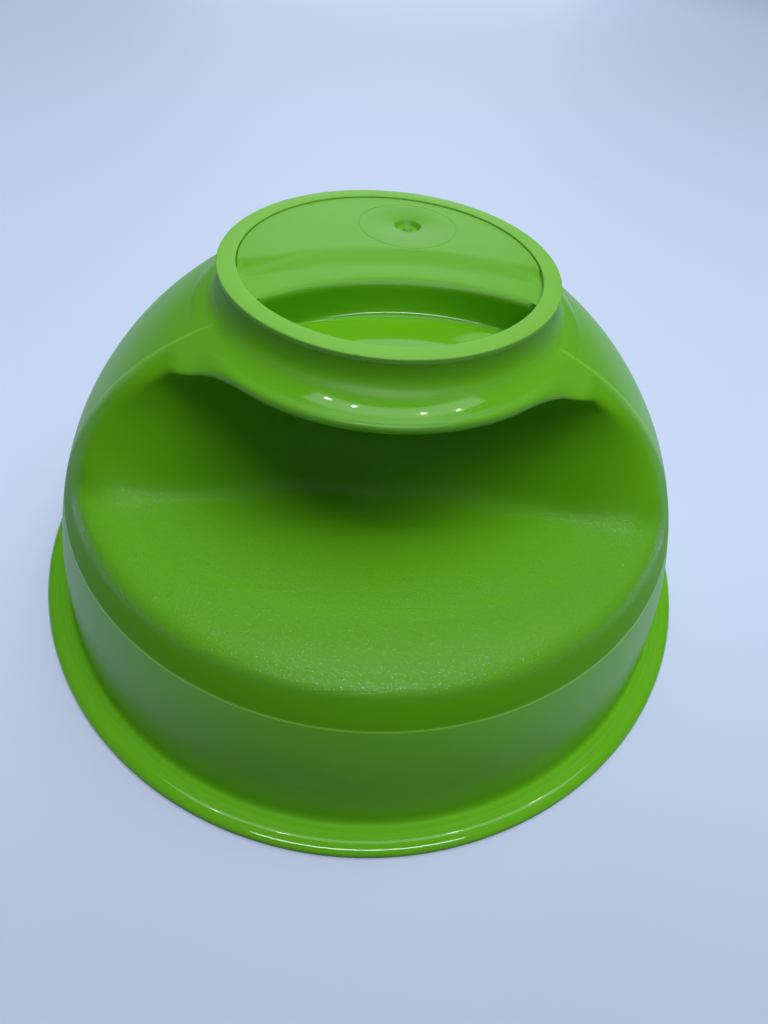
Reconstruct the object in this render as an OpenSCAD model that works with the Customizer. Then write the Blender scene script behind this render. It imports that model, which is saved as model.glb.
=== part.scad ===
// Mixing bowl with a finger grip under its foot, resting upside down on its rim.
// Millimetres. The rim lies on z = 0, the grip faces -Y and is symmetric about the YZ plane.

/* [Rim] */
// outer radius of the rim flange
rim_radius = 120; // [116:1:128]
// thickness of the rim flange
rim_thickness = 3.2; // [2.4:0.2:4.4]

/* [Dome] */
// radius of the dome at its widest, just below the rim plane
dome_radius = 111.5; // [109:0.5:113]
// rise of the dome above its widest level
dome_rise = 118; // [116:0.5:121]
// depth of the widest level below the rim plane
dome_drop = 8; // [6:0.5:9]
// wall thickness of the moulding
wall = 2.8; // [2:0.2:3.2]

/* [Grip] */
// height of the grip's floor above the rim plane
floor_height = 55.5; // [52:0.5:59]
// distance of the crease at the back of the grip from the axis
crease_distance = 40; // [35:1:45]
// angle to either side of the front at which the grip runs out
grip_angle = 61; // [56:1:63]
// height of the mould line that bounds the grip zone below
line_height = 43.5; // [40:0.5:46]

/* [Shelf] */
// height of the shelf's underside above the rim plane
shelf_height = 93; // [91.5:0.5:94]
// thickness of the shelf at its lip
shelf_thickness = 3.6; // [3:0.2:4]
// radius of the shelf's lip
lip_radius = 53.8; // [51:0.2:55]

/* [Foot] */
// height of the face that the bowl stands on
foot_height = 107.3; // [106.9:0.1:108.5]
// outer radius of the foot ring
foot_radius = 44.5; // [43.5:0.1:45.5]
// width of the foot ring's face
ring_width = 4.8; // [4.4:0.1:5.2]
// thickness of the foot ring outside its groove
ring_thickness = 1.3; // [1:0.1:1.6]
// width of the ring's tongue
tongue_width = 2.2; // [1.8:0.1:2.6]
// depth of the ring's tongue
tongue_depth = 2.9; // [2.2:0.1:3.2]
// clearance between the tongue and its groove, on each side and below
tongue_clearance = 0.1; // [0.05:0.05:0.2]

/* [Well] */
// height of the well's floor inside the foot
well_height = 97; // [96.4:0.2:98.5]
// angle by which the well is turned from the middle of the grip
well_turn = 6; // [0:1:9]
// distance of the well's inner edge from the axis
well_distance = 8.7; // [6:0.5:11]
// radius of the well's inner edge in plan
well_radius = 57.6; // [54:0.5:61]

/* [Bottom] */
// thickness of the bowl's bottom
bottom_thickness = 3; // [2.4:0.2:3.4]
// depth of the bottom's flat disc below the foot face
disc_drop = 0.4; // [0.3:0.1:0.6]
// distance of the disc's front edge behind the axis
ramp_distance = 6.2; // [4:0.2:7]
// radius of the disc's front edge in plan
ramp_radius = 80.8; // [76:0.5:86]
// width of the ramp in front of the disc
ramp_width = 6.5; // [4:0.5:8]
// fall of the ramp
ramp_fall = 1; // [0.6:0.1:1.4]

/* [Gate] */
// distance of the gate mark to the side of the axis
gate_side = 4.6; // [0:0.2:5]
// distance of the gate mark behind the axis
gate_distance = 21.2; // [20.8:0.1:21.6]
// radius of the gate insert's mark
gate_radius = 14; // [12:0.5:14.5]
// radius of the gate's dimple
dimple_radius = 4; // [3:0.2:5]
// depth of the gate's dimple
dimple_depth = 1.3; // [0.8:0.1:1.6]

/* [Hidden] */
curve_steps = 2;
// azimuths from the front round to the back: fine where the grip runs out, coarse behind
front_step = 6.5;
side_start = 39;
side_step = 3;
side_end = 66;
flank_step = 8;
back_start = 90;
back_step = 10;
// exponent that sets how flat the grip's back wall is in plan, and how softly the grip ends
grip_power = 3.3;
grip_softness = 0.2;
// azimuths between which the lip runs out into the dome
lip_fade = [37, 59];
// distance in front of the axis of the top of the grip's back wall
wall_top = 12;
seat_height = foot_height - ring_thickness;
disc_height = foot_height - disc_drop;
inner_bottom = disc_height - bottom_thickness;
ring_inner = foot_radius - ring_width;
ring_middle = foot_radius - ring_width / 2;
seat_inner = ring_inner - 0.1;
foot_wall = foot_radius - 0.15;
gate = [gate_side, gate_distance];
groove = tongue_width / 2 + tongue_clearance;
groove_floor = seat_height - tongue_depth - tongue_clearance;
// share of a row's way to the gate over which the well and the ramp begin
row_fade = 0.03;
// least share of the way between neighbouring rows, at the seat and at the gate
row_step = 0.0035;
gate_step = 0.002;
// clear ground between the disc's last row and the gate insert's groove
gate_margin = 0.6;
insert_groove = 0.2;

function mix(a, b, t) = a + (b - a) * t;
function clamp(t) = max(0, min(1, t));
function smooth(a, b, t) = let (u = clamp((t - a) / (b - a))) u * u * (3 - 2 * u);
function around(azimuth) = [sin(azimuth), -cos(azimuth)];

// Smaller of two values with a soft passage of half width k between them.
function soft_min(a, b, k) =
    let (h = clamp(0.5 + 0.5 * (b - a) / k))
    mix(b, a, h) - k * h * (1 - h);

// A point [radius, height] on the plain dome, drawn in by an inset.
function dome(z, inset = 0) =
    let (rise = (z + dome_drop) / (dome_rise - inset))
    [(dome_radius - inset) * sqrt(max(0.001, 1 - rise * rise)), z];

// 0 in the middle of the grip, 1 from the limit angle on, where the dome is plain.
function plainness(azimuth, limit) = soft_min(pow(abs(azimuth) / limit, grip_power), 1, grip_softness);
function lip_plainness(azimuth) = smooth(lip_fade[0], lip_fade[1], abs(azimuth));

// A station of the outline at an azimuth. It lies at plain = [radius, height] on the plain dome and moves straight
// towards a point behind the axis until it stands at grip = [distance in front of the axis, height]. The height
// follows the square of the share, so the grip's floor stays low and turns up only near its ends.
function station(azimuth, plain, grip, share) =
    let (travel = (plain[0] - grip[0]) / (plain[0] + gate_distance) * (1 - share))
    let (plan = mix(plain[0] * around(azimuth), [0, gate_distance], travel))
    [plan[0], plan[1], mix(grip[1], plain[1], share * share)];

// Stations for corners = [distance, height, share of the way from low to high on the dome, angle past grip_angle].
function stations(azimuth, corners, low, high, inset = 0) = [
    for (c = corners)
        station(azimuth, dome(mix(low, high, c[2]), inset), c, plainness(azimuth, grip_angle + c[3]))
];

// Round a chain of corners off with a quadratic spline that starts and ends on its end points.
function spline(corners) =
    let (last = len(corners) - 1)
    [
        for (i = [1 : last - 1])
            let (from = i == 1 ? corners[0] : (corners[i - 1] + corners[i]) / 2)
            let (to = i == last - 1 ? corners[last] : (corners[i] + corners[i + 1]) / 2)
            for (k = [0 : curve_steps - 1])
                let (t = k / curve_steps)
                mix(mix(from, corners[i], t), mix(corners[i], to, t), t),
        corners[last]
    ];

function turned(azimuth, profile) = [
    for (p = profile) [p[0] * sin(azimuth), -p[0] * cos(azimuth), p[1]]
];

// The rim's section, from its inner edge on the table to the foot of the band.
rim_section = [
    [rim_radius - 1.1, 0],
    [rim_radius, 0.9],
    [rim_radius, rim_thickness - 1],
    [rim_radius - 1, rim_thickness]
];

// Outside of the bowl from the rim to the foot, with the grip and its shelf in front.
function outside(azimuth) =
    let (lip = lip_plainness(azimuth))
    let (low = mix(line_height, floor_height, 0.45))
    let (edge = dome(floor_height)[0])
    let (floor_in = crease_distance + 14)
    let (lip_top = shelf_height + shelf_thickness)
    let (grip = [
        [dome(low)[0], low, 0.12, 0],
        [edge - 0.4, floor_height + 0.6, 0.24, 0],
        [edge - 9, floor_height + 2, 0.27, -0.5],
        [mix(edge - 9, floor_in, 0.5), floor_height + 1.4, 0.295, -1],
        [floor_in, floor_height, 0.335, -1.5],
        [crease_distance, floor_height - 1.5, 0.39, -1.5],
        [mix(crease_distance, wall_top, 0.28), mix(floor_height, shelf_height, 0.26), 0.49, 1],
        [mix(crease_distance, wall_top, 0.65), mix(floor_height, shelf_height, 0.62), 0.645, 2.5],
        [wall_top, shelf_height - 0.6, 0.76, 1.5],
        [wall_top + 7, shelf_height, 0.855, -0.5]
    ])
    spline(concat(
        turned(azimuth, [
            [rim_radius - 3.4, rim_thickness + 0.3],
            [dome(8)[0] + 1.2, rim_thickness + 0.6],
            dome(9),
            dome(mix(9, line_height, 0.33)),
            dome(mix(9, line_height, 0.67)),
            dome(line_height)
        ]),
        stations(azimuth, grip, line_height, shelf_height),
        [
            station(azimuth, dome(mix(line_height, shelf_height, 0.95)), [lip_radius - 12, shelf_height], lip),
            station(azimuth, dome(shelf_height), [lip_radius - 0.6, shelf_height + 0.2], lip),
            station(azimuth, dome(lip_top - 1), [lip_radius, lip_top - 0.3], lip),
            station(azimuth, [foot_radius + 6, lip_top + 0.6], [foot_radius + 5.2, lip_top + 1.2], lip),
            station(azimuth, [foot_radius + 1.7, lip_top + 2.2], [foot_radius + 1, lip_top + 3.6], lip)
        ],
        turned(azimuth, [
            [foot_wall, mix(lip_top, seat_height, 0.75)],
            [foot_wall, seat_height]
        ])
    ));

// Seat of the foot ring with the groove for its tongue.
seat_section = [
    [ring_middle + groove, seat_height],
    [ring_middle + groove, groove_floor],
    [ring_middle - groove, groove_floor],
    [ring_middle - groove, seat_height]
];

// Share of the way from the seat to the gate at which a row leaves the circle of this radius whose edge passes the
// axis at this distance in front. 0 for a row that starts outside the circle.
function way_to_arc(azimuth, distance, radius) =
    let (start = seat_inner * around(azimuth))
    let (line = gate - start)
    let (offset = start - (distance + radius) * around(well_turn))
    let (a = line * line)
    let (b = offset * line)
    let (c = offset * offset - radius * radius)
    c < 0 ? (sqrt(b * b - a * c) - b) / a : 0;

// Bottom of the bowl inside the foot: the well in front, then the ramp and the flat disc with the gate mark.
function bottom(azimuth) =
    let (start = seat_inner * around(azimuth))
    let (to_gate = 1 - (gate_radius + gate_margin) / norm(gate - start))
    let (to_edge = way_to_arc(azimuth, well_distance, well_radius))
    let (to_ramp = way_to_arc(azimuth, ramp_width - ramp_distance, ramp_radius))
    let (to_disc = way_to_arc(azimuth, -ramp_distance, ramp_radius))
    let (ledge = disc_height - ramp_fall * smooth(0, row_fade, to_disc))
    let (deep = smooth(0, row_fade, to_edge))
    let (floor_z = mix(ledge, well_height, deep))
    let (rows = [
        [0, seat_height],
        [to_edge * 0.01, mix(ledge, mix(well_height, seat_height, 0.45), deep)],
        [to_edge * 0.02, floor_z],
        [to_edge * 0.16, floor_z],
        [to_edge * 0.8, floor_z],
        [to_edge * 0.93, mix(ledge, well_height + 0.2, deep)],
        [to_edge * 0.975, mix(ledge, mix(well_height, seat_height, 0.5), deep)],
        [to_edge, mix(ledge, disc_height - ramp_fall - 0.2, deep)],
        [mix(to_edge, to_ramp, 0.5), ledge],
        [to_ramp, ledge],
        [mix(to_ramp, to_disc, 0.5), mix(ledge, disc_height, 0.5)],
        [to_disc, disc_height],
        [mix(to_disc, to_gate, 0.3), disc_height]
    ])
    spline([
        for (k = [0 : len(rows) - 1])
            let (way = min(max(rows[k][0], row_step * k), to_gate - gate_step * (len(rows) - k)))
            let (plan = mix(start, gate, way))
            [plan[0], plan[1], rows[k][1]]
    ]);

// Rings round the gate: the insert's fine groove, the dimple and the nub inside it.
gate_section = [
    [gate_radius + insert_groove, 0],
    [gate_radius, insert_groove],
    [gate_radius - insert_groove, 0],
    [dimple_radius, 0],
    [dimple_radius * 0.8, dimple_depth],
    [dimple_radius * 0.35, dimple_depth],
    [dimple_radius * 0.2, dimple_depth * 0.45]
];

function round_gate(azimuth, section, level) =
    let (ray = seat_inner * around(azimuth) - gate)
    let (side = ray / norm(ray))
    [
        for (p = section)
            let (plan = gate + p[0] * side)
            [plan[0], plan[1], level - p[1]]
    ];

// Inside of the bowl from the rim up to its bottom, one wall behind the outside.
function inside(azimuth) =
    let (low = mix(line_height, floor_height, 0.36))
    let (edge = dome(floor_height)[0] - wall)
    let (crease = crease_distance - wall * 0.9)
    let (floor_in = crease + 14)
    let (inner_top = wall_top - wall * 1.25)
    let (inner_floor = floor_height - wall)
    let (grip = [
        [dome(low, wall)[0], low - 0.3, 0.07, 0],
        [edge - 0.6, inner_floor + 0.3, 0.16, 0],
        [edge - 9, inner_floor + 1.9, 0.19, 0],
        [mix(edge - 9, floor_in, 0.5), inner_floor + 1.4, 0.215, 0],
        [floor_in, inner_floor, 0.24, 0],
        [crease, inner_floor - 1.5, 0.28, 0],
        [mix(crease, inner_top, 0.28), mix(inner_floor, shelf_height, 0.26), 0.385, 3],
        [mix(crease, inner_top, 0.65), mix(inner_floor, shelf_height, 0.62), 0.57, 7],
        [inner_top, shelf_height - 0.6, 0.73, 14],
        [inner_top - 4.1, mix(shelf_height, inner_bottom, 0.8), 0.89, 17],
        [inner_top - 11.1, inner_bottom, 1, 17]
    ])
    spline(concat(
        turned(azimuth, [for (share = [0, 0.3, 0.65, 1]) dome(line_height * share, wall)]),
        stations(azimuth, grip, line_height, inner_bottom - 1, wall),
        round_gate(azimuth, [[gate_radius, 0], [gate_radius * 0.3, 0]], inner_bottom)
    ));

function column(azimuth) =
    let (up_inside = inside(azimuth))
    concat(
        [for (k = [len(up_inside) - 1 : -1 : 0]) up_inside[k]],
        turned(azimuth, rim_section),
        outside(azimuth),
        turned(azimuth, seat_section),
        bottom(azimuth),
        round_gate(azimuth, gate_section, disc_height)
    );

half_turn = concat(
    [for (a = [0 : front_step : side_start]) a],
    [for (a = [side_start + side_step : side_step : side_end]) a],
    [for (a = [side_end + flank_step : flank_step : back_start - 1]) a],
    [for (a = [back_start : back_step : 180]) a]
);
full_turn = concat(half_turn, [for (k = [len(half_turn) - 2 : -1 : 1]) -half_turn[k]]);

// Close a skin over columns of equal length, with one pole before and one pole after them.
module skin(columns, first_pole, last_pole) {
    count = len(columns);
    rows = len(columns[0]);
    points = concat([for (c = columns) for (p = c) p], [first_pole, last_pole]);
    faces = concat(
        [
            for (j = [0 : count - 1])
                for (i = [0 : rows - 2])
                    let (a = j * rows + i)
                    let (b = ((j + 1) % count) * rows + i)
                    for (f = [[a, a + 1, b + 1], [a, b + 1, b]]) f
        ],
        [for (j = [0 : count - 1]) [count * rows, j * rows, ((j + 1) % count) * rows]],
        [for (j = [0 : count - 1]) [count * rows + 1, ((j + 1) % count + 1) * rows - 1, (j + 1) * rows - 1]]
    );
    polyhedron(points, faces, convexity = 8);
}

// The hard moulding: rim, dome, grip, shelf, foot wall and bottom in one wall.
module bowl_shell() {
    nub_top = disc_height - dimple_depth * 0.4;
    color([0.25, 0.52, 0.08])
        skin(
            [for (a = full_turn) column(a)],
            [gate[0], gate[1], inner_bottom],
            [gate[0], gate[1], nub_top]
        );
}

// The soft ring that the bowl stands on, with its tongue down in the groove.
module foot_ring() {
    edge = 0.3;
    tongue_floor = seat_height - tongue_depth;
    color([0.35, 0.62, 0.14])
        rotate_extrude($fn = 128)
            polygon([
                [ring_inner, seat_height],
                [ring_middle - tongue_width / 2, seat_height],
                [ring_middle - tongue_width / 2, tongue_floor],
                [ring_middle + tongue_width / 2, tongue_floor],
                [ring_middle + tongue_width / 2, seat_height],
                [foot_radius, seat_height],
                [foot_radius, foot_height - edge],
                [foot_radius - edge, foot_height],
                [ring_inner + edge, foot_height],
                [ring_inner, foot_height - edge]
            ]);
}

bowl_shell();
foot_ring();
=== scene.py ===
# %% [markdown]
# # A mixing bowl with a finger grip, upside down on its rim
# The bowl is one green moulding with a soft ring on its foot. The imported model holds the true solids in
# coarse facets, so this lesson draws both pieces again as fine surfaces, in the same place and at the
# same size, and then gives them the finishes that the mould left on the real plastic.

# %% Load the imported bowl
import math

import bpy
import numpy as np
from mathutils import Matrix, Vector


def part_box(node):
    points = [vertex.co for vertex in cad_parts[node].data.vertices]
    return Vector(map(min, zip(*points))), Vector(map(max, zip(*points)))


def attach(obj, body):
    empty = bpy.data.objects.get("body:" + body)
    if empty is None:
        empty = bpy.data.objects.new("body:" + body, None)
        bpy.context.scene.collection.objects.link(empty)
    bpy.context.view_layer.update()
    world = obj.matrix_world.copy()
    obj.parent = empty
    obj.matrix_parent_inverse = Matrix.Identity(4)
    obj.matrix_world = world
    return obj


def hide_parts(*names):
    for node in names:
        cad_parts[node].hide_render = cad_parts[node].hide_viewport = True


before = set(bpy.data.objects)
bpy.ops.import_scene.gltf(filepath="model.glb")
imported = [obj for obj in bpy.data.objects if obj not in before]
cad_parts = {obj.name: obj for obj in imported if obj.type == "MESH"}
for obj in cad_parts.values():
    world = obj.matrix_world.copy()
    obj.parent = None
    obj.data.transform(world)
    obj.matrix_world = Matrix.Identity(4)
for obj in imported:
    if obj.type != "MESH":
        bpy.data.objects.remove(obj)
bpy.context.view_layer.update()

# %% [markdown]
# ## Sizes
# A maker keeps the driving sizes in one place. The rim's radius and the foot's height and radius are read
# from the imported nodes, so the surfaces can't drift from the solids. The rest are plain millimetres: the
# dome is half an ellipsoid, the grip is given by its floor and its crease, and the gate mark sits behind
# the axis and a little to one side.

# %% Driving sizes in millimetres
MM = 0.001
shell_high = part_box("bowl_shell")[1]
ring_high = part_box("foot_ring")[1]
RIM_RADIUS = shell_high.x / MM
FOOT_HEIGHT = ring_high.z / MM
FOOT_RADIUS = ring_high.x / MM
RIM_THICKNESS = 3.2
DOME_RADIUS, DOME_RISE, DOME_DROP = 111.5, 118.0, 8.0
WALL = 2.8
FLOOR_HEIGHT, CREASE_DISTANCE = 55.5, 40.0
GRIP_ANGLE, LINE_HEIGHT = 61.0, 43.5
SHELF_HEIGHT, SHELF_THICKNESS, LIP_RADIUS = 93.0, 3.6, 53.8
RING_WIDTH, RING_THICKNESS = 4.8, 1.3
TONGUE_WIDTH, TONGUE_DEPTH, TONGUE_CLEARANCE = 2.2, 2.9, 0.1
WELL_HEIGHT, WELL_TURN = 97.0, 6.0
WELL_DISTANCE, WELL_RADIUS = 8.7, 57.6
RAMP_DISTANCE, RAMP_RADIUS, RAMP_WIDTH, RAMP_FALL = 6.2, 80.8, 6.5, 1.0
BOTTOM_THICKNESS, DISC_DROP = 3.0, 0.4
GATE_SIDE, GATE_DISTANCE, GATE_RADIUS = 4.6, 21.2, 14.0
DIMPLE_RADIUS, DIMPLE_DEPTH = 4.0, 1.3
SEAT_HEIGHT = FOOT_HEIGHT - RING_THICKNESS
DISC_HEIGHT = FOOT_HEIGHT - DISC_DROP
RING_MIDDLE = FOOT_RADIUS - RING_WIDTH / 2
SEAT_INNER = FOOT_RADIUS - RING_WIDTH - 0.1
print(f"rim radius {RIM_RADIUS:.1f} mm, foot {FOOT_HEIGHT:.1f} mm high and {FOOT_RADIUS:.1f} mm in radius")

# %% [markdown]
# ## One outline that changes as it goes round
# Behind, the bowl's outline is a plain dome. In front the same outline folds in over the floor of the
# grip, climbs its back wall and comes out again under the shelf. A boolean cut would leave hard edges
# that need filleting, and sculpting would lose the sizes. Here each corner of the outline is a station
# that knows two places, one on the plain dome and one in the middle of the grip, and slides between them
# with the angle round the axis. The columns stand closest where the grip's side edges turn.

# %% Angles round the bowl, in degrees from the middle of the grip
GRIP_END, SIDE_END = 39.0, 68.0
GRIP_STEP, SIDE_STEP, BACK_STEP = 1.5, 0.725, 2.0
grip_angles = np.arange(-GRIP_END, GRIP_END, GRIP_STEP)
side_angles = np.arange(GRIP_END, SIDE_END, SIDE_STEP)
back_angles = np.arange(SIDE_END, 360.0 - SIDE_END, BACK_STEP)
far_side_angles = -side_angles[::-1] - SIDE_STEP + 360.0
AZIMUTH = np.concatenate([grip_angles, side_angles, back_angles, far_side_angles])
AZIMUTH = np.where(AZIMUTH > 180.0, AZIMUTH - 360.0, AZIMUTH)
DIRECTION = np.column_stack([np.sin(np.radians(AZIMUTH)), -np.cos(np.radians(AZIMUTH))])
print(len(AZIMUTH), "columns round the axis")

# %% How plain the dome is at each angle
GRIP_POWER, GRIP_SOFTNESS = 3.3, 0.4
LIP_FADE_START, LIP_FADE_END = 37.0, 59.0


def mix(a, b, t):
    """A straight blend: a when t is 0, b when t is 1."""
    return a + (b - a) * t


def smooth(a, b, t):
    """An S-shaped step from 0 at a to 1 at b, level at both ends: 3u^2 - 2u^3."""
    u = np.clip((t - a) / (b - a), 0.0, 1.0)
    return u * u * (3.0 - 2.0 * u)


def soft_min(a, b, k):
    """The smaller of a and b, with a parabola of half width k where they cross."""
    h = np.clip(0.5 + 0.5 * (b - a) / k, 0.0, 1.0)
    return mix(b, a, h) - k * h * (1.0 - h)


def plainness(limit):
    """0 in the middle of the grip, rising as (angle / limit)^power and softly held at 1 on the plain dome."""
    return soft_min((np.abs(AZIMUTH) / limit) ** GRIP_POWER, 1.0, GRIP_SOFTNESS)


LIP_PLAIN = smooth(LIP_FADE_START, LIP_FADE_END, np.abs(AZIMUTH))
print("columns inside the grip:", int((plainness(GRIP_ANGLE) < 1.0).sum()))


# %% Stations and the curve through them
def dome(z, inset=0.0):
    """Radius and height on the ellipsoid: radius = a sqrt(1 - (rise / b)^2), a and b drawn in by inset."""
    rise = (z + DOME_DROP) / (DOME_RISE - inset)
    return (DOME_RADIUS - inset) * math.sqrt(max(0.001, 1.0 - rise * rise)), z


def station(plain, grip, share):
    """One corner in every column. It starts at radius plain[0] and height plain[1], and moves in plan towards
    a point behind the axis until, in the middle of the grip, it stands grip[0] in front of the axis at height
    grip[1]. The height follows the square of the share, so the floor stays low and turns up only near its
    ends."""
    start = plain[0] * DIRECTION
    travel = (plain[0] - grip[0]) / (plain[0] + GATE_DISTANCE) * (1.0 - share)
    plan = start + (np.array([0.0, GATE_DISTANCE]) - start) * travel[:, None]
    return np.column_stack([plan, mix(grip[1], plain[1], share ** 2)])


def turned(profile):
    """A plain profile of (radius, height) pairs carried round the axis."""
    columns = len(DIRECTION)
    return [np.column_stack([radius * DIRECTION, np.full(columns, height)]) for radius, height in profile]


def spline(corners, steps):
    """A quadratic spline: each corner's arc runs from the middle of the edge before it to the middle of the
    edge after it, (1-t)^2 from + 2t(1-t) corner + t^2 to. Rows come out first, then columns, then x, y, z."""
    chain = np.stack(corners)
    starts = (chain[:-2] + chain[1:-1]) / 2.0
    ends = (chain[1:-1] + chain[2:]) / 2.0
    starts[0], ends[-1] = chain[0], chain[-1]
    t = (np.arange(steps) / steps)[None, :, None, None]
    middle = chain[1:-1][:, None]
    arcs = (1 - t) ** 2 * starts[:, None] + 2 * t * (1 - t) * middle + t ** 2 * ends[:, None]
    return np.concatenate([arcs.reshape(-1, *chain.shape[1:]), chain[-1:]])


print("dome radius at the mould line:", round(dome(LINE_HEIGHT)[0], 1), "mm")

# %% [markdown]
# ## Outside: rim, band, grip and shelf
# From the table upwards the outline is the rounded nose of the rim with its low bead, the hollow behind
# it and the band. In front follow the rounded edge of the grip, its floor, the crease, the back wall, the
# underside of the shelf and the lip. The hollow under the foot closes it. Close corners make a tight
# round and spread corners a wide one.

# %% The rim and the band, as radius and height
OUTSIDE_STEPS = 8
BAND_FOOT = 12.0
rim_corners = turned([
    dome(0.0, WALL),
    (RIM_RADIUS - 1.7, 0.0),
    (RIM_RADIUS, 0.0),
    (RIM_RADIUS, RIM_THICKNESS - 1.4),
    (RIM_RADIUS - 0.7, RIM_THICKNESS - 0.3),
    (RIM_RADIUS - 2.6, RIM_THICKNESS + 0.5),
    (RIM_RADIUS - 4.8, RIM_THICKNESS + 0.5),
    (dome(8.0)[0] + 1.4, RIM_THICKNESS - 0.5),
    dome(BAND_FOOT),
    dome(mix(BAND_FOOT, LINE_HEIGHT, 0.33)),
    dome(mix(BAND_FOOT, LINE_HEIGHT, 0.67)),
    dome(LINE_HEIGHT),
])
print("corners from the rim to the mould line:", len(rim_corners))

# %% The grip and the shelf
# Each corner gives its distance in front of the axis, its height, how far up the plain dome it slides to
# at the sides, and, in the grip, by how many degrees its side edge lies further round.
edge = dome(FLOOR_HEIGHT)[0]
WALL_TOP = 12.0
EDGE_ROUND, CREASE_ROUND = 7.5, 14.0
grip_corners = [
    (*dome(mix(LINE_HEIGHT, FLOOR_HEIGHT, 0.5)), 0.12, 0.0),
    (edge + 0.3, FLOOR_HEIGHT - 0.6, 0.24, 0.0),
    (edge - EDGE_ROUND, FLOOR_HEIGHT + 0.9, 0.27, -0.5),
    (mix(edge - EDGE_ROUND, CREASE_DISTANCE + CREASE_ROUND, 0.5), FLOOR_HEIGHT + 1.0, 0.295, -1.0),
    (CREASE_DISTANCE + CREASE_ROUND, FLOOR_HEIGHT, 0.335, -1.5),
    (CREASE_DISTANCE, FLOOR_HEIGHT - 1.5, 0.39, -1.5),
    (mix(CREASE_DISTANCE, WALL_TOP, 0.28), mix(FLOOR_HEIGHT, SHELF_HEIGHT, 0.26), 0.49, 1.0),
    (mix(CREASE_DISTANCE, WALL_TOP, 0.65), mix(FLOOR_HEIGHT, SHELF_HEIGHT, 0.62), 0.645, 2.5),
    (WALL_TOP, SHELF_HEIGHT - 0.6, 0.76, 1.5),
    (WALL_TOP + 7.0, SHELF_HEIGHT, 0.855, -0.5),
]
lip_corners = [
    (LIP_RADIUS - 12.0, SHELF_HEIGHT, 0.95),
    (LIP_RADIUS - 0.6, SHELF_HEIGHT + 0.2, 1.0),
]


def dome_share(share):
    """The point of the plain dome this share of the way from the mould line up to the shelf."""
    return dome(mix(LINE_HEIGHT, SHELF_HEIGHT, share))


side_corners = [
    station(dome_share(corner[2]), corner, plainness(GRIP_ANGLE + corner[3])) for corner in grip_corners
]
side_corners += [station(dome_share(corner[2]), corner, LIP_PLAIN) for corner in lip_corners]
print("corners from the mould line to the lip:", len(side_corners))

# %% The skirt, and the outside as a whole
lip_top = SHELF_HEIGHT + SHELF_THICKNESS
skirt_corners = [
    station(dome(lip_top - 1.0), (LIP_RADIUS, lip_top - 0.3), LIP_PLAIN),
    station((FOOT_RADIUS + 6.2, lip_top + 0.7), (FOOT_RADIUS + 5.8, lip_top + 1.0), LIP_PLAIN),
    station((FOOT_RADIUS + 2.2, lip_top + 2.4), (FOOT_RADIUS + 2.2, lip_top + 3.3), LIP_PLAIN),
    *turned([(FOOT_RADIUS + 0.2, mix(lip_top, SEAT_HEIGHT, 0.68)), (FOOT_RADIUS - 0.05, SEAT_HEIGHT)]),
]
outside = spline(rim_corners + side_corners + skirt_corners, OUTSIDE_STEPS)
lip_row = (len(rim_corners) + len(side_corners) - 2) * OUTSIDE_STEPS + OUTSIDE_STEPS // 2
print("outside rows:", len(outside), "of which the lip's edge is row", lip_row)

# %% [markdown]
# ## Bottom: the ring's seat, the well and the gate mark
# Inside the foot the bowl's own bottom is flat behind and falls gently to a rounded edge, where its wall
# drops into a crescent-shaped well. The plastic entered the mould at the gate, which left a disc with a
# fine groove, a dimple and a nub. The rows close in on the gate instead of the axis, so those circles
# come out exact.

# %% The ring's seat and the ways across the bottom
GATE = np.array([GATE_SIDE, GATE_DISTANCE])
GATE_MARGIN = 0.6
SEAT_EDGE = SEAT_INNER * DIRECTION
groove = TONGUE_WIDTH / 2 + TONGUE_CLEARANCE
groove_floor = SEAT_HEIGHT - TONGUE_DEPTH - TONGUE_CLEARANCE
seat = np.stack(turned([
    (RING_MIDDLE + groove, SEAT_HEIGHT),
    (RING_MIDDLE + groove, groove_floor),
    (RING_MIDDLE - groove, groove_floor),
    (RING_MIDDLE - groove, SEAT_HEIGHT),
]))


def way_to_arc(distance, radius):
    """How far each column's line from the seat to the gate runs, from 0 to 1, before it leaves a circle of
    this radius whose rim passes the axis at this distance in front. Solves |S + t(G - S) - C|^2 = radius^2
    for t, with S on the seat, G at the gate and C in the middle of the circle."""
    turn = math.radians(WELL_TURN)
    centre = -(distance + radius) * np.array([-math.sin(turn), math.cos(turn)])
    line, offset = GATE - SEAT_EDGE, SEAT_EDGE - centre
    a, b = (line * line).sum(1), (offset * line).sum(1)
    c = (offset * offset).sum(1) - radius ** 2
    return np.where(c < 0.0, (-b + np.sqrt(np.maximum(b * b - a * c, 0.0))) / a, 0.0)


way_to_gate = 1.0 - (GATE_RADIUS + GATE_MARGIN) / np.linalg.norm(GATE - SEAT_EDGE, axis=1)
way_to_edge = way_to_arc(WELL_DISTANCE, WELL_RADIUS)
way_to_ramp = way_to_arc(RAMP_WIDTH - RAMP_DISTANCE, RAMP_RADIUS)
way_to_disc = way_to_arc(-RAMP_DISTANCE, RAMP_RADIUS)
print("columns that cross the well:", int((way_to_edge > 0.0).sum()))

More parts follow.
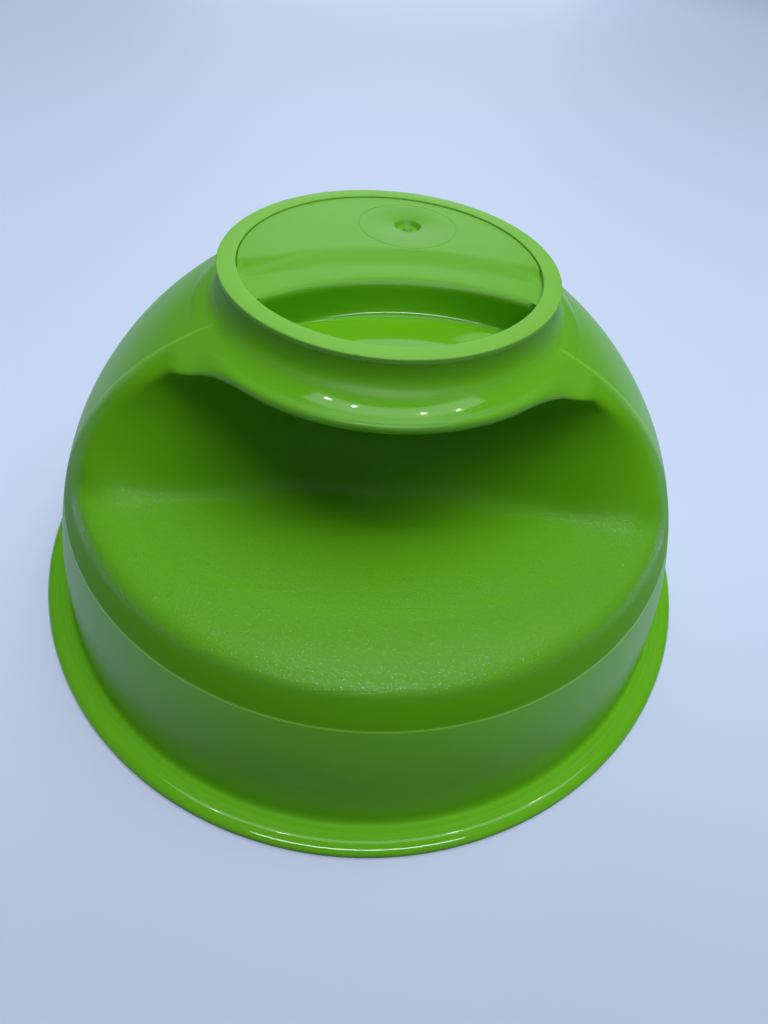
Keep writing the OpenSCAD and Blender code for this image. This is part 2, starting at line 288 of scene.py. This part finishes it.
# %% The bottom surface
# The well's corners give a share of the way to its edge and a height. The others lie between two ways.
BOTTOM_STEPS = 6
ROW_FADE, ROW_STEP, GATE_STEP = 0.03, 0.0035, 0.002
disc_level = np.full(len(SEAT_EDGE), DISC_HEIGHT)
ledge = mix(DISC_HEIGHT, DISC_HEIGHT - RAMP_FALL, smooth(0.0, ROW_FADE, way_to_disc))
deep = smooth(0.0, ROW_FADE, way_to_edge)
well_corners = [
    (0.01, 101.0),
    (0.02, WELL_HEIGHT),
    (0.16, WELL_HEIGHT),
    (0.8, WELL_HEIGHT),
    (0.93, WELL_HEIGHT + 0.2),
    (0.975, mix(WELL_HEIGHT, SEAT_HEIGHT, 0.5)),
    (1.0, DISC_HEIGHT - RAMP_FALL - 0.2),
]
flat_corners = [
    (way_to_edge, way_to_ramp, 0.35, ledge),
    (way_to_edge, way_to_ramp, 0.75, ledge),
    (way_to_ramp, way_to_disc, 0.0, ledge),
    (way_to_ramp, way_to_disc, 0.5, mix(ledge, DISC_HEIGHT, 0.5)),
    (way_to_ramp, way_to_disc, 1.0, disc_level),
    (way_to_disc, way_to_gate, 0.3, disc_level),
]
places = [(np.zeros(len(SEAT_EDGE)), np.full(len(SEAT_EDGE), SEAT_HEIGHT))]
places += [(way_to_edge * share, mix(ledge, height, deep)) for share, height in well_corners]
places += [(mix(near, far, share), height) for near, far, share, height in flat_corners]
bottom_corners = []
for k, (way, height) in enumerate(places):
    way = np.minimum(np.maximum(way, ROW_STEP * k), way_to_gate - GATE_STEP * (len(places) - k))
    bottom_corners.append(np.column_stack([SEAT_EDGE + (GATE - SEAT_EDGE) * way[:, None], height]))
bottom = spline(bottom_corners, BOTTOM_STEPS)
print(f"bottom rows: {len(bottom)}, with the well's floor {SEAT_HEIGHT - WELL_HEIGHT:.1f} mm under the seat")

# %% Rings round the gate
GROOVE_HALF_WIDTH, GROOVE_DEPTH = 0.25, 0.07
DIMPLE_FLOOR = 0.72
NUB_RADIUS, NUB_HEIGHT, NUB_TIP, NUB_END = 1.3, 0.8, 0.82, 1.45


def round_gate(section, level):
    """Circles about the gate: each (radius, depth) pair is a ring of that radius, depth below level."""
    ray = SEAT_EDGE - GATE
    outward = ray / np.linalg.norm(ray, axis=1)[:, None]
    return np.stack([
        np.column_stack([GATE + radius * outward, np.full(len(outward), level - depth)])
        for radius, depth in section
    ])


insert_groove = [
    (GATE_RADIUS + GROOVE_HALF_WIDTH * math.cos(a), GROOVE_DEPTH * math.sin(a))
    for a in np.linspace(0.0, math.pi, 9)
]
dimple_wall = [
    (DIMPLE_RADIUS * mix(1.0, DIMPLE_FLOOR, u), DIMPLE_DEPTH * float(smooth(0.0, 1.0, u)))
    for u in np.linspace(0.0, 1.0, 7)
]
nub = [
    (NUB_RADIUS * math.cos(a), DIMPLE_DEPTH - NUB_HEIGHT * math.sin(a))
    for a in np.linspace(0.0, NUB_END, 6)
]
gate = round_gate(insert_groove + dimple_wall + nub, DISC_HEIGHT)
print("gate rows:", len(gate))

# %% [markdown]
# ## Inside of the bowl
# The moulding has an even wall, so the inside repeats the outside one wall further in, without the shelf.
# It is out of sight here, but a bowl is picked up and turned over, so it is drawn as carefully.

# %% The inside surface
INSIDE_STEPS = 6
inner_edge = edge - WALL
inner_crease = CREASE_DISTANCE - 0.9 * WALL
inner_wall_top = WALL_TOP - 1.25 * WALL
inner_floor = FLOOR_HEIGHT - WALL
inner_bottom = DISC_HEIGHT - BOTTOM_THICKNESS
inner_low = mix(LINE_HEIGHT, FLOOR_HEIGHT, 0.36)
inner_grip = [
    (dome(inner_low, WALL)[0], inner_low - 0.3, 0.07, 0.0),
    (inner_edge + 0.1, inner_floor - 0.9, 0.16, 0.0),
    (inner_edge - EDGE_ROUND, inner_floor + 0.8, 0.19, 0.0),
    (mix(inner_edge - EDGE_ROUND, inner_crease + CREASE_ROUND, 0.5), inner_floor + 1.0, 0.215, 0.0),
    (inner_crease + CREASE_ROUND, inner_floor, 0.24, 0.0),
    (inner_crease, inner_floor - 1.5, 0.28, 0.0),
    (mix(inner_crease, inner_wall_top, 0.28), mix(inner_floor, SHELF_HEIGHT, 0.26), 0.385, 3.0),
    (mix(inner_crease, inner_wall_top, 0.65), mix(inner_floor, SHELF_HEIGHT, 0.62), 0.57, 7.0),
    (inner_wall_top, SHELF_HEIGHT - 0.6, 0.73, 14.0),
    (inner_wall_top - 4.1, mix(SHELF_HEIGHT, inner_bottom, 0.8), 0.89, 17.0),
    (inner_wall_top - 11.1, inner_bottom, 1.0, 17.0),
]


def inner_share(share):
    """The point of the inner dome this share of the way from the mould line to just under the bottom."""
    return dome(mix(LINE_HEIGHT, inner_bottom - 1.0, share), WALL)


inner_corners = turned([dome(mix(0.0, LINE_HEIGHT, share), WALL) for share in (0.0, 0.3, 0.65, 1.0)])
inner_corners += [
    station(inner_share(corner[2]), corner, plainness(GRIP_ANGLE + corner[3])) for corner in inner_grip
]
inner_corners += list(round_gate([(GATE_RADIUS, 0.0), (0.3 * GATE_RADIUS, 0.0)], inner_bottom))
inside = spline(inner_corners, INSIDE_STEPS)
print("inside rows:", len(inside), "and the bottom is", BOTTOM_THICKNESS, "mm thick")

# %% [markdown]
# ## From rows to a mesh
# The rows run from the pole inside, down to the rim, up the outside and in to the gate, so they close one
# skin between two poles. Index arithmetic on whole arrays gives the faces.

# %% Skin over the rows
SHARP_ANGLE = math.radians(40.0)


def skin(name, rows, first_pole=None, last_pole=None):
    """Quads between neighbouring rows and columns, wrapped round the axis. A pole closes an end with
    triangles. Without poles the last row joins the first, which makes a closed ring."""
    count, columns = rows.shape[:2]
    closed = first_pole is None
    points = [rows.reshape(-1, 3)] + ([] if closed else [np.array([first_pole, last_pole], float)])
    last = count if closed else count - 1
    i, j = np.meshgrid(np.arange(last), np.arange(columns), indexing="ij")
    k, n = (i + 1) % count, (j + 1) % columns
    quads = np.stack([i * columns + j, i * columns + n, k * columns + n, k * columns + j], axis=-1)
    faces = quads.reshape(-1, 4).tolist()
    if not closed:
        c = np.arange(columns)
        d = (c + 1) % columns
        low, high = np.full(columns, count * columns), np.full(columns, count * columns + 1)
        faces += np.column_stack([d, c, low]).tolist()
        faces += np.column_stack([(count - 1) * columns + c, (count - 1) * columns + d, high]).tolist()
    mesh = bpy.data.meshes.new(name)
    mesh.from_pydata((np.concatenate(points) * MM).tolist(), [], faces)
    mesh.polygons.foreach_set("use_smooth", np.ones(len(mesh.polygons), bool))
    mesh.set_sharp_from_angle(angle=SHARP_ANGLE)
    piece = bpy.data.objects.new(name, mesh)
    bpy.context.scene.collection.objects.link(piece)
    return piece


rows = np.concatenate([inside[::-1], outside[1:], seat, bottom, gate])
shell = skin(
    "bowl_shell_skin", rows,
    first_pole=(GATE_SIDE, GATE_DISTANCE, inner_bottom),
    last_pole=(GATE_SIDE, GATE_DISTANCE, DISC_HEIGHT - DIMPLE_DEPTH + NUB_TIP),
)
print("shell:", len(shell.data.vertices), "points,", len(shell.data.polygons), "faces")

# %% [markdown]
# ## Foot ring
# The soft ring is a narrow band with rounded edges and a tongue underneath that sits in the groove of the
# foot. It is a plain lathe shape, so its section is carried round the axis.

# %% The ring's surface
RING_EDGE = 0.35
ring_inner = FOOT_RADIUS - RING_WIDTH
bend = np.linspace(0.0, math.pi / 2, 6)
outer_round = [
    (FOOT_RADIUS - RING_EDGE * (1 - math.cos(a)), FOOT_HEIGHT - RING_EDGE * (1 - math.sin(a))) for a in bend
]
inner_round = [
    (ring_inner + RING_EDGE * (1 - math.sin(a)), FOOT_HEIGHT - RING_EDGE * (1 - math.cos(a))) for a in bend
]
ring_section = [
    (ring_inner, SEAT_HEIGHT),
    (RING_MIDDLE - TONGUE_WIDTH / 2, SEAT_HEIGHT),
    (RING_MIDDLE - TONGUE_WIDTH / 2, SEAT_HEIGHT - TONGUE_DEPTH),
    (RING_MIDDLE + TONGUE_WIDTH / 2, SEAT_HEIGHT - TONGUE_DEPTH),
    (RING_MIDDLE + TONGUE_WIDTH / 2, SEAT_HEIGHT),
    (FOOT_RADIUS, SEAT_HEIGHT),
    *outer_round,
    *inner_round,
]
ring = skin("foot_ring_band", np.stack(turned(ring_section)))
print("ring:", len(ring.data.vertices), "points,", len(ring.data.polygons), "faces")

# %% [markdown]
# ## Zones of finish
# A side slide of the mould formed the grip. Its steel was spark-eroded to a fine grain and its edge left
# a thin line on the plastic, while the polished rim and skirt shine. Painting masks by hand would be
# guesswork. The slide's edge follows from its shape, so each point stores how many millimetres it lies
# inside that edge. Across the line the count runs five times as fast, which makes the finish change
# sharply there and softly at the sides.

# %% How far each point lies inside the slide's edge
SLIDE_PLANE, LINE_SHARPNESS = -22.5, 5.0
FAR_OFF, GATE_OFF = -500.0, -50.0
inside_rows = len(inside)
x, y, z = rows[..., 0], rows[..., 1], rows[..., 2]
arc = np.zeros(rows.shape[:2])
arc[1:] = np.cumsum(np.linalg.norm(np.diff(rows, axis=0), axis=2), axis=0)
below_lip = arc[inside_rows - 1 + lip_row] - arc
slide_mm = np.minimum(np.minimum(LINE_SHARPNESS * (z - LINE_HEIGHT), SLIDE_PLANE - y), below_lip)
slide_mm[:inside_rows] = FAR_OFF
print("points inside the slide's edge:", int((slide_mm > 0.0).sum()))

# %% [markdown]
# Gloss is stored in the same way, from 0 for dull to 1 for polished. Most of the dome has a soft gloss.
# The nose of the rim, the skirt between lip and foot and the well are polished, while the hollow behind
# the rim and the bottom are dull and the hollow under the ring is less glossy than its surroundings.

# %% How glossy each point is
SOFT_GLOSS, BOTTOM_GLOSS, WELL_GLOSS = 0.35, 0.1, 0.9
reach = np.hypot(x, y)
bottom_start = len(rows) - len(bottom) - len(gate)
gloss = np.full(rows.shape[:2], SOFT_GLOSS)
gloss[inside_rows:] -= SOFT_GLOSS * smooth(9.5, 6.5, z[inside_rows:])
gloss[inside_rows:] += smooth(RIM_RADIUS - 5.5, RIM_RADIUS - 4.5, reach[inside_rows:])
polished = smooth(5.0, 7.0, -below_lip) * smooth(FOOT_RADIUS + 1.5, FOOT_RADIUS + 5.0, reach)
gloss += (1.0 - gloss) * polished * smooth(120.0, 60.0, np.abs(AZIMUTH))[None, :]
gloss[inside_rows:] -= SOFT_GLOSS * smooth(FOOT_RADIUS + 5.0, FOOT_RADIUS + 1.0, reach[inside_rows:])
out_of_well = smooth(DISC_HEIGHT - 3.2, DISC_HEIGHT - 1.6, z[bottom_start:])
gloss[bottom_start:] = mix(WELL_GLOSS, BOTTOM_GLOSS, out_of_well)
pole_values = {"slide_mm": [FAR_OFF, GATE_OFF], "gloss": [SOFT_GLOSS, BOTTOM_GLOSS]}
for name, values in (("slide_mm", slide_mm), ("gloss", gloss)):
    layer = shell.data.attributes.new(name, "FLOAT", "POINT")
    layer.data.foreach_set("value", np.concatenate([values.ravel(), pole_values[name]]).astype(np.float32))
print("polished points:", int((gloss > 0.9).sum()))


# %% [markdown]
# ## Materials
# Colours are written as the hex values a painter would pick and turned to linear light by one function.
# One small helper adds a node and fills its inputs. The few after it name the nodes that are used most,
# so each material reads as a list of what it is made of.

# %% Colour and node helpers
def linear(hex_colour):
    """sRGB hex to linear RGB: c/12.92 below 0.04045, else ((c + 0.055)/1.055)^2.4."""
    c = np.array([int(hex_colour[i:i + 2], 16) for i in (1, 3, 5)]) / 255.0
    return np.where(c <= 0.04045, c / 12.92, ((c + 0.055) / 1.055) ** 2.4).tolist() + [1.0]


def add(tree, kind, settings=None, **inputs):
    """Adds a node, sets its properties and its inputs. An input that is a socket is linked, any other is
    written. An input named i and a number is found by its number, any other by its name."""
    made = tree.nodes.new(kind)
    for key, value in (settings or {}).items():
        setattr(made, key, value)
    for key, value in inputs.items():
        numbered = key[0] == "i" and key[1:].isdigit()
        socket = made.inputs[int(key[1:]) if numbered else key.replace("_", " ")]
        if isinstance(value, bpy.types.NodeSocket):
            tree.links.new(value, socket)
        else:
            socket.default_value = value
    return made


def new_material(name):
    """A new node material; returns the material, its tree and its Principled shader."""
    material = bpy.data.materials.new(name)
    material.use_nodes = True
    tree = material.node_tree
    return material, tree, tree.nodes["Principled BSDF"]


def step(tree, value, low, high, to_low=0.0, to_high=1.0):
    """A smooth step of a value between two limits, as a Map Range node."""
    settings = {"interpolation_type": "SMOOTHSTEP"}
    inputs = {"i0": value, "i1": low, "i2": high, "i3": to_low, "i4": to_high}
    return add(tree, "ShaderNodeMapRange", settings, **inputs).outputs[0]


def combine(tree, operation, first, second):
    """Two values joined by a Math node."""
    return add(tree, "ShaderNodeMath", {"operation": operation}, i0=first, i1=second).outputs[0]


def distance(tree, value, level):
    """How far a value is from a level, up or down: |value - level|."""
    difference = combine(tree, "SUBTRACT", value, level)
    return add(tree, "ShaderNodeMath", {"operation": "ABSOLUTE"}, i0=difference).outputs[0]


def blend(tree, share, first, second):
    """The first colour where the share is 0, the second where it is 1."""
    return add(tree, "ShaderNodeMix", {"data_type": "RGBA"}, i0=share, i6=first, i7=second).outputs[2]


def noise(tree, place, size, detail):
    """Soft cloudy spots, each about one size in metres across, from 0 to 1."""
    return add(tree, "ShaderNodeTexNoise", Vector=place, Scale=1 / size, Detail=detail).outputs["Fac"]


print("helpers ready; leaf green is", [round(value, 3) for value in linear("#64b214")])

# %% [markdown]
# ### Green moulded plastic: where things are
# First the material finds out where it is: in the grain inside the slide's edge, on the open floor of the
# grip, where the grain catches the light, or on a mark. The marks are the thin line round the front and a
# soft seam on each side of the foot. Both get a painted highlight: a lighter green that stands in for the
# light their fine edges catch.

# %% Zones and marks of the plastic
GRAIN_FADE = 4.0
plastic, tree, shader = new_material("green_polypropylene")
place = add(tree, "ShaderNodeTexCoord").outputs["Object"]
slide = add(tree, "ShaderNodeAttribute", {"attribute_name": "slide_mm"}).outputs["Fac"]
shine = add(tree, "ShaderNodeAttribute", {"attribute_name": "gloss"}).outputs["Fac"]
axes = add(tree, "ShaderNodeSeparateXYZ", Vector=place)
along, height = axes.outputs["Y"], axes.outputs["Z"]
grain_zone = step(tree, slide, 0.0, GRAIN_FADE)
above_edge = step(tree, height, 50.0 * MM, 54.0 * MM)
before_crease = step(tree, along, -49.0 * MM, -38.0 * MM, 1.0, 0.0)
open_floor = combine(tree, "MULTIPLY", above_edge, before_crease)
# The mould line gets a painted highlight: a thin lighter strip along its fine edge.
on_line = step(tree, distance(tree, height, LINE_HEIGHT * MM), 0.2 * MM, 0.45 * MM, 1.0, 0.0)
line = combine(tree, "MULTIPLY", on_line, step(tree, slide, -44.0, -0.6))
# The seams beside the foot get a painted highlight: a paler strip where the two mould surfaces meet.
painted_seam_highlight = step(tree, distance(tree, along, SLIDE_PLANE * MM), 0.2 * MM, 0.9 * MM, 0.6, 0.0)
high_up = step(tree, height, 66.0 * MM, 76.0 * MM)
beside_foot = combine(tree, "MULTIPLY", high_up, step(tree, slide, -12.0, -8.0))
painted_mark_highlight = combine(tree, "MAXIMUM", line, combine(tree, "MULTIPLY", painted_seam_highlight, beside_foot))
print("nodes for zones and marks:", len(tree.nodes))

# %% [markdown]
# ### Green moulded plastic: colour and gloss
# Polypropylene is a little waxy, with an index near 1.49. Its colour drifts slightly over a few
# centimetres and is a shade deeper in the grain. The marks are painted lighter, a painted highlight along
# the line and the seams. Roughness falls with the stored gloss, and a faint ripple keeps large reflections
# from being perfect. The dull places and the grain are given less reflection than plain plastic, as if
# their fine relief shaded itself.

# %% Colour and gloss of the plastic
PLASTIC_INDEX = 1.49
drift = noise(tree, place, 45.0 * MM, 2.0)
smooth_colour = blend(tree, drift, linear("#64b214"), linear("#6ab81a"))
body_colour = blend(tree, grain_zone, smooth_colour, linear("#60aa12"))
# Painted highlight: the line and the seams are painted a lighter green.
tree.links.new(blend(tree, painted_mark_highlight, body_colour, linear("#88d336")), shader.inputs["Base Color"])
smooth_rough = step(tree, shine, 0.0, 1.0, 0.46, 0.07)
rough = add(tree, "ShaderNodeMix", {"data_type": "FLOAT"}, i0=grain_zone, i2=smooth_rough, i3=0.42).outputs[0]
tree.links.new(rough, shader.inputs["Roughness"])
ripple = noise(tree, place, 18.0 * MM, 1.0)
soft_skin = add(tree, "ShaderNodeBump", Strength=0.04, Distance=1.0 * MM, Height=ripple).outputs[0]
tree.links.new(soft_skin, shader.inputs["Normal"])
grain_mirror = step(tree, open_floor, 0.0, 1.0, 0.04, 0.25)
body_mirror = step(tree, slide, 0.0, GRAIN_FADE, 0.5, grain_mirror)
mirror = combine(tree, "MINIMUM", body_mirror, step(tree, shine, 0.0, 0.08, 0.15, 0.5))
tree.links.new(mirror, shader.inputs["Specular IOR Level"])
shader.inputs["IOR"].default_value = PLASTIC_INDEX
print("nodes with colour and gloss:", len(tree.nodes))

# %% [markdown]
# ### Green moulded plastic: grain
# The spark-eroded grain is about 0.7 mm wide and glitters in highlights. Bumps on the body itself would
# roughen its colour too. A clear coat with bumps of its own, strongest on the tops of the grain, glitters
# and leaves the colour below smooth.

# %% Grain of the plastic
grain = noise(tree, place, 0.7 * MM, 1.0)
glitter = add(
    tree, "ShaderNodeBump", Strength=1.0, Distance=0.35 * MM, Height=grain, Normal=soft_skin,
).outputs[0]
grain_floor = combine(tree, "MULTIPLY", grain_zone, open_floor)
sparkle = combine(tree, "MULTIPLY", grain_floor, step(tree, grain, 0.48, 0.66, 0.12, 1.0))
tree.links.new(sparkle, shader.inputs["Coat Weight"])
tree.links.new(glitter, shader.inputs["Coat Normal"])
shader.inputs["Coat Roughness"].default_value = 0.26
shader.inputs["Coat IOR"].default_value = PLASTIC_INDEX
shell.data.materials.append(plastic)
print("plastic nodes:", len(tree.nodes))

# %% [markdown]
# ### Soft ring
# The ring is a soft plastic of the same green, lighter and duller, with a faint grain. Dirt settles in
# tiny specks along its outer edge, where the seam to the hard plastic is.

# %% Rubber of the ring
rubber, tree, shader = new_material("soft_green_ring")
place = add(tree, "ShaderNodeTexCoord").outputs["Object"]
flat = add(tree, "ShaderNodeVectorMath", {"operation": "MULTIPLY"}, i0=place, i1=(1.0, 1.0, 0.0)).outputs[0]
from_axis = add(tree, "ShaderNodeVectorMath", {"operation": "LENGTH"}, i0=flat).outputs["Value"]
near_edge = step(tree, from_axis, (FOOT_RADIUS - 0.5) * MM, (FOOT_RADIUS - 0.2) * MM)
speck = step(tree, noise(tree, place, 1.2 * MM, 2.0), 0.68, 0.74)
dirt = combine(tree, "MULTIPLY", speck, near_edge)
cloud = noise(tree, place, 12.0 * MM, 3.0)
ring_colour = blend(tree, cloud, linear("#78bf35"), linear("#7fc63e"))
tree.links.new(blend(tree, dirt, ring_colour, linear("#4b6a2c")), shader.inputs["Base Color"])
fine = noise(tree, place, 0.8 * MM, 2.0)
ring_relief = add(tree, "ShaderNodeBump", Strength=0.15, Distance=0.1 * MM, Height=fine).outputs[0]
tree.links.new(ring_relief, shader.inputs["Normal"])
shader.inputs["Roughness"].default_value = 0.55
shader.inputs["IOR"].default_value = 1.5
ring.data.materials.append(rubber)
print("ring nodes:", len(tree.nodes))

# %% [markdown]
# ## Ride on the frame
# Each surface replaces the solid it was drawn from and moves with the one body of the part.

# %% Bind the pieces
for piece, node, slot_name in ((shell, "bowl_shell", "bowl_plastic"), (ring, "foot_ring", "ring_rubber")):
    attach(piece, "root")
    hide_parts(node)
    print(piece.name, "stands for", node)

# %% [markdown]
# ## Table
# The bowl lies on a plain pale table, with painted shade making it a little darker towards the viewer.
# Gloss shows what lies around a thing: the far table and the table beside the bowl are mirrored pale, and
# the table in front is mirrored dark, a painted shade in the reflections. For bounced light the table is
# also painted a middle grey, so the bowl isn't lit much from below. Where it is seen or mirrored pale it
# also glows faintly.

# %% The table and its paint
FLOOR_REACH = 6.0
floor_corners = FLOOR_REACH * np.array([(-1, -1, 0), (1, -1, 0), (1, 1, 0), (-1, 1, 0)], float)
floor_mesh = bpy.data.meshes.new("pale_table")
floor_mesh.from_pydata(floor_corners.tolist(), [], [(0, 1, 2, 3)])
floor = bpy.data.objects.new("pale_table", floor_mesh)
bpy.context.scene.collection.objects.link(floor)
table, tree, shader = new_material("pale_table_paint")
place = add(tree, "ShaderNodeTexCoord").outputs["Object"]
axes = add(tree, "ShaderNodeSeparateXYZ", Vector=place)
side, depth = axes.outputs["X"], axes.outputs["Y"]
far_colour = blend(tree, noise(tree, place, 250.0 * MM, 2.0), linear("#cbd8f0"), linear("#cddaf0"))
# Painted shade: the table is painted darker towards the viewer.
table_colour_with_painted_shade = blend(tree, step(tree, depth, -0.2, 0.02), linear("#b4c0d6"), far_colour)
pale_back = combine(tree, "MULTIPLY", step(tree, depth, -0.1, 0.06), step(tree, side, -0.45, 0.15, 0.75, 1.0))
off_middle = add(tree, "ShaderNodeMath", {"operation": "ABSOLUTE"}, i0=side).outputs[0]
pale_sides = step(tree, off_middle, 0.03, 0.12, 0.0, 0.9)
pale = combine(tree, "MAXIMUM", pale_back, pale_sides)
path = add(tree, "ShaderNodeLightPath")
mirrored = combine(tree, "MULTIPLY", pale, path.outputs["Is Glossy Ray"])
seen = combine(tree, "MAXIMUM", path.outputs["Is Camera Ray"], mirrored)
# Painted shade for rays that don't reach the camera: middle grey for bounced light, dark in reflections of
# the table in front.
unseen_painted_shade = blend(tree, path.outputs["Is Glossy Ray"], linear("#7f8797"), linear("#4a5058"))
tree.links.new(blend(tree, seen, unseen_painted_shade, table_colour_with_painted_shade), shader.inputs["Base Color"])
tree.links.new(table_colour_with_painted_shade, shader.inputs["Emission Color"])
tree.links.new(combine(tree, "MULTIPLY", seen, 0.12), shader.inputs["Emission Strength"])
shader.inputs["Roughness"].default_value = 0.6
floor_mesh.materials.append(table)
print("table reaches", FLOOR_REACH, "m each way")

# %% [markdown]
# ## Light
# A wide ceiling light, a little from the right, and a near lamp above give the soft shading. Both are
# hidden from reflections. What the gloss mirrors is placed by itself: a long lamp panel and four small
# lamps overhead, a light at the back, and a panel in front that is mirrored but lights nothing else. The
# room looks pale to the camera and gives only a little light.

# %% Lights
LIGHT_COLOUR = "#f1f6ff"


def softbox(name, place, target, size, power, colour):
    """An area light of this width and depth at a place, turned so that its face looks at the target."""
    data = bpy.data.lights.new(name, "AREA")
    data.shape = "RECTANGLE"
    data.size, data.size_y = size
    data.energy = power
    data.color = linear(colour)[:3]
    lamp = bpy.data.objects.new(name, data)
    away = np.array(place, float) - np.array(target, float)
    away /= np.linalg.norm(away)
    across = np.cross((0.0, 1.0, 0.0) if abs(away[2]) > 0.9 else (0.0, 0.0, 1.0), away)
    across /= np.linalg.norm(across)
    turn = np.column_stack([across, np.cross(away, across), away])
    lamp.matrix_world = Matrix.Translation(place) @ Matrix(turn.tolist()).to_4x4()
    bpy.context.scene.collection.objects.link(lamp)
    return lamp


ceiling_data = bpy.data.lights.new("ceiling_light", "SUN")
ceiling_data.energy = 1.16
ceiling_data.angle = math.radians(58.0)
ceiling_data.color = linear(LIGHT_COLOUR)[:3]
ceiling = bpy.data.objects.new("ceiling_light", ceiling_data)
ceiling.rotation_euler = (math.radians(-3.0), math.radians(21.0), 0.0)
bpy.context.scene.collection.objects.link(ceiling)
near = softbox("near_lamp", (0.08, 0.05, 0.75), (0.08, 0.05, 0.0), (0.62, 0.62), 1.9, LIGHT_COLOUR)
for lamp in (ceiling, near):
    lamp.visible_glossy = False
    lamp.visible_camera = False
softbox("back_light", (0.0, 1.9, 0.7), (0.0, 0.0, 0.05), (1.2, 1.2), 6.0, "#eef4ff")
softbox("lamp_panel", (0.25, -0.15, 2.0), (0.25, -0.15, 0.0), (2.2, 0.45), 6.5, "#f6f9ff")
front = softbox("front_panel", (0.05, -1.45, 1.5), (0.0, -0.08, 0.05), (1.6, 0.16), 16.0, LIGHT_COLOUR)
front.visible_diffuse = False
for k, sideways in enumerate((-0.62, -0.28, 0.45, 0.85)):
    lamp_place = (sideways, 0.3 * max(sideways, 0.0) - 0.25, 1.95)
    softbox(f"lamp_{k + 1}", lamp_place, (0.0, 0.0, 0.1), (0.05, 0.05), 0.5, "#fffaf0")

# %% The pale room
world = bpy.data.worlds.new("pale_room")
bpy.context.scene.world = world
world.use_nodes = True
tree = world.node_tree
air = tree.nodes["Background"]
air.inputs["Color"].default_value = linear("#e6eeff")
camera_ray = add(tree, "ShaderNodeLightPath").outputs["Is Camera Ray"]
tree.links.new(step(tree, camera_ray, 0.0, 1.0, 0.13, 0.7), air.inputs["Strength"])
bpy.context.scene.view_settings.view_transform = "Standard"
print("room:", world.name, "with view", bpy.context.scene.view_settings.view_transform)

# %% [markdown]
# ## Camera
# The camera stands close, with a wide lens, looks down at the grip and leans a little to one side. Its
# place and angles come from fitting the rim, the dome and the ring to the photograph.

# %% Camera
IMAGE_HEIGHT = 1024
FOCAL_PIXELS = 540.0
PITCH, ROLL, SWING = math.radians(50.37), math.radians(6.51), math.radians(4.5)
CAMERA_PLACE = np.array([-5.57, -140.64, 173.59]) * MM
UP = np.array([0.0, 0.0, 1.0])
right = np.array([math.cos(SWING), -math.sin(SWING), 0.0])
ahead = np.array([math.sin(SWING), math.cos(SWING), 0.0])
forward = math.cos(PITCH) * ahead - math.sin(PITCH) * UP
upward = math.sin(PITCH) * ahead + math.cos(PITCH) * UP
turned_right = math.cos(ROLL) * right + math.sin(ROLL) * upward
turned_up = math.cos(ROLL) * upward - math.sin(ROLL) * right
camera_data = bpy.data.cameras.new("photo_camera")
camera_data.sensor_width = 36.0
camera_data.lens = FOCAL_PIXELS * camera_data.sensor_width / IMAGE_HEIGHT
camera_data.clip_start = 0.01
camera = bpy.data.objects.new("photo_camera", camera_data)
camera_turn = Matrix(np.column_stack([turned_right, turned_up, -forward]).tolist()).to_4x4()
camera.matrix_world = Matrix.Translation(CAMERA_PLACE.tolist()) @ camera_turn
bpy.context.scene.collection.objects.link(camera)
bpy.context.scene.camera = camera
print(f"lens {camera_data.lens:.1f} mm at {CAMERA_PLACE.round(3).tolist()}")
